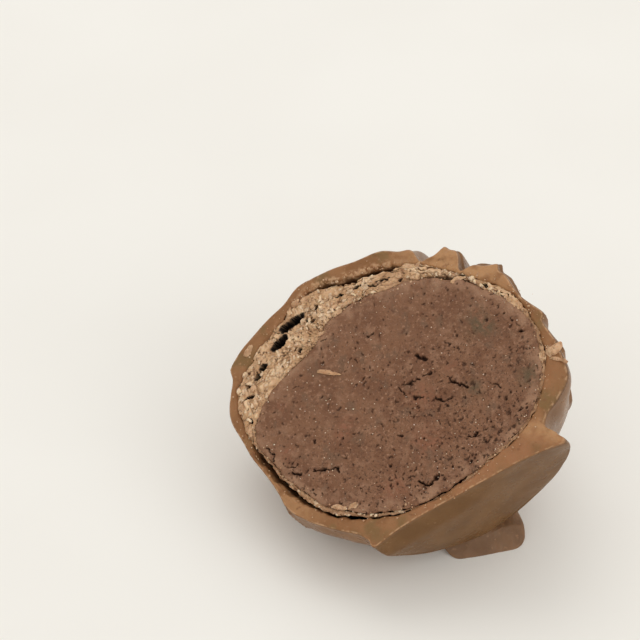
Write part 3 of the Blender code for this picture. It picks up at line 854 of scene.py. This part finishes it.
# ---------------------------------------------------------------------------------------------
# The foot. A tongue of the same chocolate that ran out under the base and set there: a slab
# with one flat face, a soft rim and a crease across its upper corner. The half leans on it.
# ---------------------------------------------------------------------------------------------

FOOT_PLACE = (-1.0, -1.9, -14.75)
FOOT_ACROSS = (0.868, -0.187, -0.459)
FOOT_UP = (0.417, 0.777, 0.472)
FOOT_OUT = (0.269, -0.602, 0.752)
FOOT_CENTRE = (-0.1, 1.4)
# Radius of its outline, every 22.5 degrees round from its right end
FOOT_EDGE = np.array((5.0, 5.1, 5.3, 4.4, 3.6, 3.4, 3.7, 4.3,
                      4.7, 4.4, 3.95, 3.55, 3.2, 3.1, 3.6, 4.8))
# (share of the outline, how far behind the flat face)
FOOT_PROFILE = np.array(((0.0, 0.0), (0.35, 0.0), (0.7, 0.0), (0.90, 0.03), (0.975, 0.16), (1.0, 0.45),
                         (0.995, 1.0), (0.95, 1.8), (0.84, 2.4), (0.62, 2.75), (0.3, 2.9), (0.0, 2.95)))
# How steeply the slab leans back, and from how far up its face
FOOT_TILT, FOOT_TILT_FROM = 0.32, -0.8
# The crease: points on the face, and how steeply the corner above it falls back
FOOT_CREASE, FOOT_CORNER_SLOPE = ((0.6, 1.2), (2.1, 1.65), (3.6, 1.75), (5.0, 1.4)), 0.9
FOOT_RELIEF = ((3.0, 0.10, 121), (1.1, 0.05, 122), (0.4, 0.012, 123))
FOOT_LEVELS, FOOT_SIDES = 110, 220

levels, rounds = np.meshgrid(np.linspace(0, 1, FOOT_LEVELS + 1),
                             np.linspace(0, 2 * np.pi, FOOT_SIDES + 1), indexing="ij")
spread, behind = np.moveaxis(through(FOOT_PROFILE, levels), -1, 0)
spread = np.clip(spread, 0, None) * round_the_face(FOOT_EDGE, rounds)
foot_across = FOOT_CENTRE[0] + spread * np.cos(rounds)
foot_up = FOOT_CENTRE[1] + spread * np.sin(rounds)
away, side = distance_to_path(foot_across, foot_up, FOOT_CREASE)
past_crease = np.where(side > 0, np.maximum(away - 0.08, 0), 0)
behind = behind + FOOT_TILT * np.maximum(0, foot_up - FOOT_TILT_FROM)
behind = behind + FOOT_CORNER_SLOPE * past_crease * step(0.4, 2.2, foot_across)
slab = (np.array(FOOT_PLACE) + foot_across[..., None] * FOOT_ACROSS + foot_up[..., None] * FOOT_UP
        - behind[..., None] * FOOT_OUT)
way = slab - slab[FOOT_LEVELS // 2].mean(0)
way = way / np.maximum(np.linalg.norm(way, axis=-1, keepdims=True), 0.5)
slab += way * relief(slab, FOOT_RELIEF)[..., None]
# What would reach below the table is slid up along the slab's face
upright = np.array(from_bench.to_3x3())[2]
below_table = np.minimum(0, slab @ upright + from_bench.translation[2])
slab -= below_table[..., None] / (np.array(FOOT_UP) @ upright) * FOOT_UP
slab[:, -1] = slab[:, 0]
slab[0], slab[-1] = slab[0].mean(0), slab[-1].mean(0)
foot = join("foot_slab", [grid_of("slab", slab, {})], 0.004)
lay_down(foot)

set_chocolate, tree, shader = new_finish("set_chocolate", 0.45, 0.15)
shader.inputs["Specular IOR Level"].default_value = 0.26
body = tint(tree, grain(tree, 2.4, 0.35, 0.65), (0.178, 0.092, 0.044), (0.222, 0.117, 0.057))
body = tint(tree, grain(tree, 0.6, 0.6, 0.74, 3.0), body, (0.280, 0.150, 0.075))
tree.links.new(body, shader.inputs["Base Color"])
tree.links.new(span(tree, grain(tree, 1.0, 0.3, 0.7, 3.0), 0.36, 0.52), shader.inputs["Roughness"])
roughen(tree, shader, (
    (grain(tree, 0.9, 0.2, 0.8, 3.0), 0.06),
    (grain(tree, 0.15, 0.2, 0.8), 0.006)))
foot.data.materials.append(set_chocolate)
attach(foot, "root")
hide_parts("foot")


# ---------------------------------------------------------------------------------------------
# Loose bits that the knife left: pale flakes and crumbs along the broken edge, larger chips
# pressed into it, one long flake on the ganache, and sugar grains that catch the light.
# ---------------------------------------------------------------------------------------------

# Chips: (x, y, height, half length, half width, half thickness, turn in degrees)
CHIPS = (
    (-10.9, 5.4, -0.05, 0.75, 0.26, 0.20, -35), (-9.5, 4.75, -0.02, 0.62, 0.30, 0.20, -5),
    (18.0, 9.2, -0.05, 0.82, 0.52, 0.28, 15), (17.3, 9.2, 0.0, 0.45, 0.30, 0.20, 60),
    (17.7, 8.0, 0.0, 0.70, 0.16, 0.15, -38), (18.3, 7.5, -0.08, 0.4, 0.15, 0.14, -62),
    (6.3, 26.0, 0.0, 0.42, 0.30, 0.2, -20), (11.9, 22.0, 0.0, 0.75, 0.30, 0.16, -15),
    (-13.1, 27.4, -0.05, 0.75, 0.40, 0.12, 40), (-5.9, 29.4, -0.05, 0.6, 0.4, 0.22, 10),
    (-6.9, 29.0, -0.08, 0.45, 0.32, 0.2, 60), (-4.9, 29.3, -0.06, 0.4, 0.25, 0.2, -30),
    (-4.6, 24.6, 0.02, 0.5, 0.2, 0.14, -10), (-1.9, 25.9, 0.02, 0.55, 0.26, 0.16, 10),
    (7.6, 26.4, 0.0, 0.6, 0.3, 0.2, -25), (8.6, 25.9, 0.0, 0.35, 0.22, 0.2, 30),
    (-16.6, 21.4, 0.0, 0.55, 0.38, 0.18, 70), (-16.9, 18.6, -0.05, 0.6, 0.3, 0.18, 80),
    (15.9, 16.9, 0.0, 0.3, 0.12, 0.12, -70), (-14.6, 22.9, 0.0, 0.4, 0.3, 0.2, 35),
)
FLAKE_PLACE, FLAKE_SIZE, FLAKE_TURN = (-5.8, 20.0, 0.22), (1.3, 0.26, 0.09), -38
# Flakes gather here: (direction in degrees, share of them)
FLAKE_HEAPS = ((100, 0.34), (143, 0.3), (118, 0.14), (40, 0.12), (215, 0.10))
FLAKES_DROPPED, CRUMBS, SUGAR_GRAINS = 300, 480, 260


def scatter(name, places, sizes, turns, seed, lumpiness=0.28, level=1):
    """Lumps at places, each with half sizes along its own axes and a turn about each axis."""
    bpy.ops.mesh.primitive_ico_sphere_add(subdivisions=level, radius=1.0)
    one = bpy.context.object
    corners = np.array([v.co for v in one.data.vertices])
    sides = np.array([f.vertices[:] for f in one.data.polygons])
    bpy.data.objects.remove(one)
    rng = np.random.default_rng(seed)
    bodies, faces = [], []
    for place, size, turn in zip(places, sizes, turns):
        offset = rng.uniform(0, 40, 3)
        swell = 1 + lumpiness * drift(corners + offset, 0.7, seed) + 0.5 * lumpiness * drift(
            corners + offset, 0.3, seed + 1)
        lump = corners * swell[:, None] * size
        bodies.append(lump @ np.array(Euler(turn).to_matrix()).T + place)
        faces.append(sides + len(faces) * len(corners))
    mesh = bpy.data.meshes.new(name)
    mesh.from_pydata(np.concatenate(bodies), [], np.concatenate(faces))
    piece = bpy.data.objects.new(name, mesh)
    bpy.context.collection.objects.link(piece)
    return lay_down(piece)


def finish_bits(piece, name, dark, light, roughness):
    """Give loose bits their matt, uneven colour and fix them on the half."""
    finish, tree, shader = new_finish(name, roughness, 0.15)
    body = tint(tree, grain(tree, 0.8, 0.38, 0.62, 3.0), dark, light)
    body = tint(tree, grain(tree, 0.2, 0.56, 0.72, 3.0), body, tuple(0.6 * c for c in dark))
    tree.links.new(body, shader.inputs["Base Color"])
    roughen(tree, shader, ((grain(tree, 0.2, 0.2, 0.8, 3.0), 0.03),))
    piece.data.materials.append(finish)
    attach(piece, "root")


rng = np.random.default_rng(131)
heaps, heap_shares = zip(*FLAKE_HEAPS)
angles = np.radians(rng.choice(heaps, FLAKES_DROPPED, p=heap_shares))
angles = angles + np.radians(rng.normal(0, 14, FLAKES_DROPPED))
column = np.round((angles + np.pi) % (2 * np.pi) / (2 * np.pi) * CRUMB_AROUND).astype(int)
line = np.round(rng.uniform(0.04, 0.96, FLAKES_DROPPED) * CRUMB_ACROSS).astype(int)
clear_of_holes = hole_share[line, column] < 0.02
angles, line, column = angles[clear_of_holes], line[clear_of_holes], column[clear_of_holes]
flakes_left = len(angles)
flake_places = crumb_top[line, column]
flake_length = 0.09 + 0.24 * rng.uniform(0, 1, flakes_left) ** 1.8
flake_sizes = flake_length[:, None] * np.stack([
    rng.uniform(0.8, 1.3, flakes_left), rng.uniform(0.55, 0.9, flakes_left),
    rng.uniform(0.3, 0.6, flakes_left)], -1)
flake_turns = np.stack([rng.normal(0, 0.4, flakes_left), rng.normal(0, 0.3, flakes_left),
                        angles + np.pi / 2 + rng.normal(0, 0.6, flakes_left)], -1)
flakes = scatter("crumb_flakes", flake_places, flake_sizes, flake_turns, 132, 0.75, 2)
finish_bits(flakes, "flake_crumb", (0.60, 0.40, 0.25), (0.84, 0.61, 0.40), 0.85)

angles = rng.uniform(0, 2 * np.pi, CRUMBS)
on_wall = rng.uniform(0, 1, CRUMBS) < 0.5
angles = np.where(rng.uniform(0, 1, CRUMBS) < 0.25, np.radians(rng.normal(92, 16, CRUMBS)), angles)
radius = np.where(on_wall, round_the_face(WALL_INSIDE, angles) + np.abs(rng.normal(0, 0.5, CRUMBS)),
                  round_the_face(GANACHE_EDGE, angles) + rng.normal(0.0, 0.45, CRUMBS))
crumb_size = 0.035 + 0.10 * rng.uniform(0, 1, CRUMBS) ** 2
crumbs = scatter("loose_crumbs", on_face(angles, radius, 0.02), crumb_size[:, None] * rng.uniform(
    0.6, 1.2, (CRUMBS, 3)), rng.uniform(0, 6, (CRUMBS, 3)), 133, 0.4, 1)
finish_bits(crumbs, "loose_crumb", (0.44, 0.24, 0.13), (0.64, 0.42, 0.26), 0.8)

chips = scatter("pale_chips", [chip[:3] for chip in CHIPS], [chip[3:6] for chip in CHIPS],
                [(0.1, 0.05, math.radians(chip[6])) for chip in CHIPS], 134, 0.5, 4)
finish_bits(chips, "chip_crumb", (0.42, 0.232, 0.118), (0.60, 0.37, 0.21), 0.7)

long_flake = scatter("long_flake", [FLAKE_PLACE], [FLAKE_SIZE], [(0.0, 0.06, math.radians(FLAKE_TURN))],
                     135, 0.35, 5)
finish_bits(long_flake, "flake_chocolate", (0.46, 0.24, 0.115), (0.58, 0.33, 0.17), 0.55)

angles = rng.uniform(0, 2 * np.pi, SUGAR_GRAINS)
reach = np.sqrt(rng.uniform(0, 0.97, SUGAR_GRAINS))
sugar = scatter("sugar_grains", on_face(angles, reach * round_the_face(GANACHE_EDGE, angles), 0.02),
                rng.uniform(0.035, 0.10, (SUGAR_GRAINS, 1)) * rng.uniform(0.7, 1.1, (SUGAR_GRAINS, 3)),
                rng.uniform(0, 6, (SUGAR_GRAINS, 3)), 136, 0.3, 1)
finish_bits(sugar, "sugar_grain", (0.56, 0.38, 0.26), (0.80, 0.63, 0.47), 0.3)


# ---------------------------------------------------------------------------------------------
# The studio. The half lies on a pale sweep of card in an evenly lit pale room, with a soft box
# behind its left shoulder and a weak fill from the front right. The camera looks down at 43
# degrees, close enough for the half to fill the lower right of its view.
# ---------------------------------------------------------------------------------------------

bpy.ops.mesh.primitive_plane_add(size=2.0, location=(0, 0, 0))
table = bpy.context.object
table.name = "table_top"
card, tree, shader = new_finish("pale_card", 0.9, 0.0)
tree.links.new(tint(tree, grain(tree, 30.0, 0.3, 0.7), (0.860, 0.835, 0.782), (0.875, 0.852, 0.800)),
               shader.inputs["Base Color"])
table.data.materials.append(card)

HORIZON, ZENITH = (0.935, 0.920, 0.888), (0.860, 0.855, 0.843)
world = bpy.data.worlds.new("studio")
world.use_nodes = True
sky = world.node_tree
upward = sky.nodes.new("ShaderNodeSeparateXYZ")
sky.links.new(sky.nodes.new("ShaderNodeTexCoord").outputs["Generated"], upward.inputs["Vector"])
sky.links.new(tint(sky, upward.outputs["Z"], HORIZON, ZENITH), sky.nodes["Background"].inputs["Color"])
bpy.context.scene.world = world


def lamp(name, place, width, height, energy):
    """A rectangle of light, aimed at the half."""
    bpy.ops.object.light_add(type="AREA", location=place)
    light = bpy.context.object
    light.name = name
    light.data.shape = "RECTANGLE"
    light.data.size, light.data.size_y = width, height
    light.data.energy = energy
    light.rotation_euler = (Vector((0, 0, 0.01)) - light.location).to_track_quat("-Z", "Y").to_euler()


lamp("softbox", (-0.06, 0.14, 0.40), 0.26, 0.20, 0.22)
lamp("fill_light", (0.30, -0.25, 0.22), 0.3, 0.3, 0.27)

CAMERA_ELEVATION = math.radians(43.0)
bpy.ops.object.camera_add(location=(-0.00881, -0.16160, 0.17765),
                          rotation=(math.pi / 2 - CAMERA_ELEVATION, 0, 0))
camera = bpy.context.object
camera.data.lens = 115.2
camera.data.sensor_width = 36.0
camera.data.clip_start = 0.01
bpy.context.scene.camera = camera
bpy.context.scene.view_settings.view_transform = "Standard"
